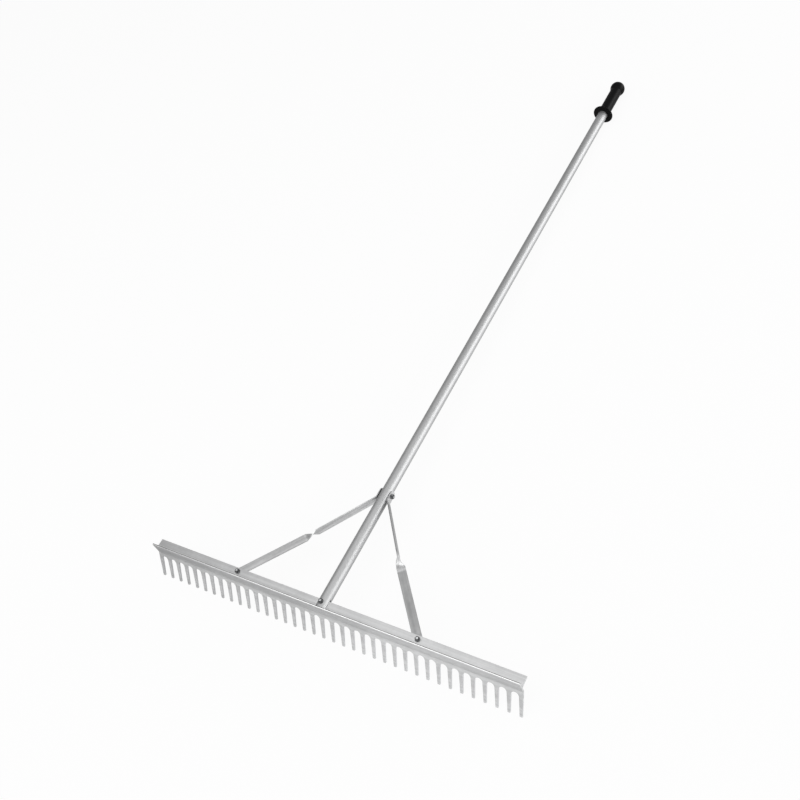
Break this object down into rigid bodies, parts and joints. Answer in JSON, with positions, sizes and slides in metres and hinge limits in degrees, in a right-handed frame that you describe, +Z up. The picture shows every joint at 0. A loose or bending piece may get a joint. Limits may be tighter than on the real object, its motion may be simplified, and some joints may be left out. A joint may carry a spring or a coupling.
{
  "type": "landscape rake",
  "caption": "Wide landscape rake: a punched aluminium head with forward-leaning teeth, a round tube handle held by two twisted flat braces, and a black ball-ended grip.",
  "frame": {"origin": "on the ground at the middle of the line of tooth tips, on the back edge of the middle tooth", "axes": "+X along the head, +Y along the ground from the teeth towards the grip, +Z up; the rake lies at rest on its tooth tips and on the collar of its grip, so the handle slopes down towards the grip by about one and a half degrees"},
  "size_m": [0.9144, 1.7318, 0.089],
  "materials": {
    "head_aluminium": "mill-finish extrusion, satin, drawn lines along its length",
    "tube_aluminium": "drawn tube, half bright, fine lines along its length",
    "brace_aluminium": "satin flat bar",
    "grip_vinyl": "smooth moulded, soft sheen",
    "zinc_steel": "dull zinc plate",
    "nylon": "natural, matt"
  },
  "bodies": {
    "root": {"rake_head": "head_aluminium", "handle_tube": "tube_aluminium", "grip": "grip_vinyl", "left_brace": "brace_aluminium", "right_brace": "brace_aluminium", "foot_bolt": "zinc_steel", "foot_nut": "zinc_steel", "foot_insert": "nylon", "left_bolt": "zinc_steel", "left_nut": "zinc_steel", "left_insert": "nylon", "right_bolt": "zinc_steel", "right_nut": "zinc_steel", "right_insert": "nylon", "cross_bolt": "zinc_steel", "cross_nut": "zinc_steel", "cross_insert": "nylon"}
  },
  "joints": []
}
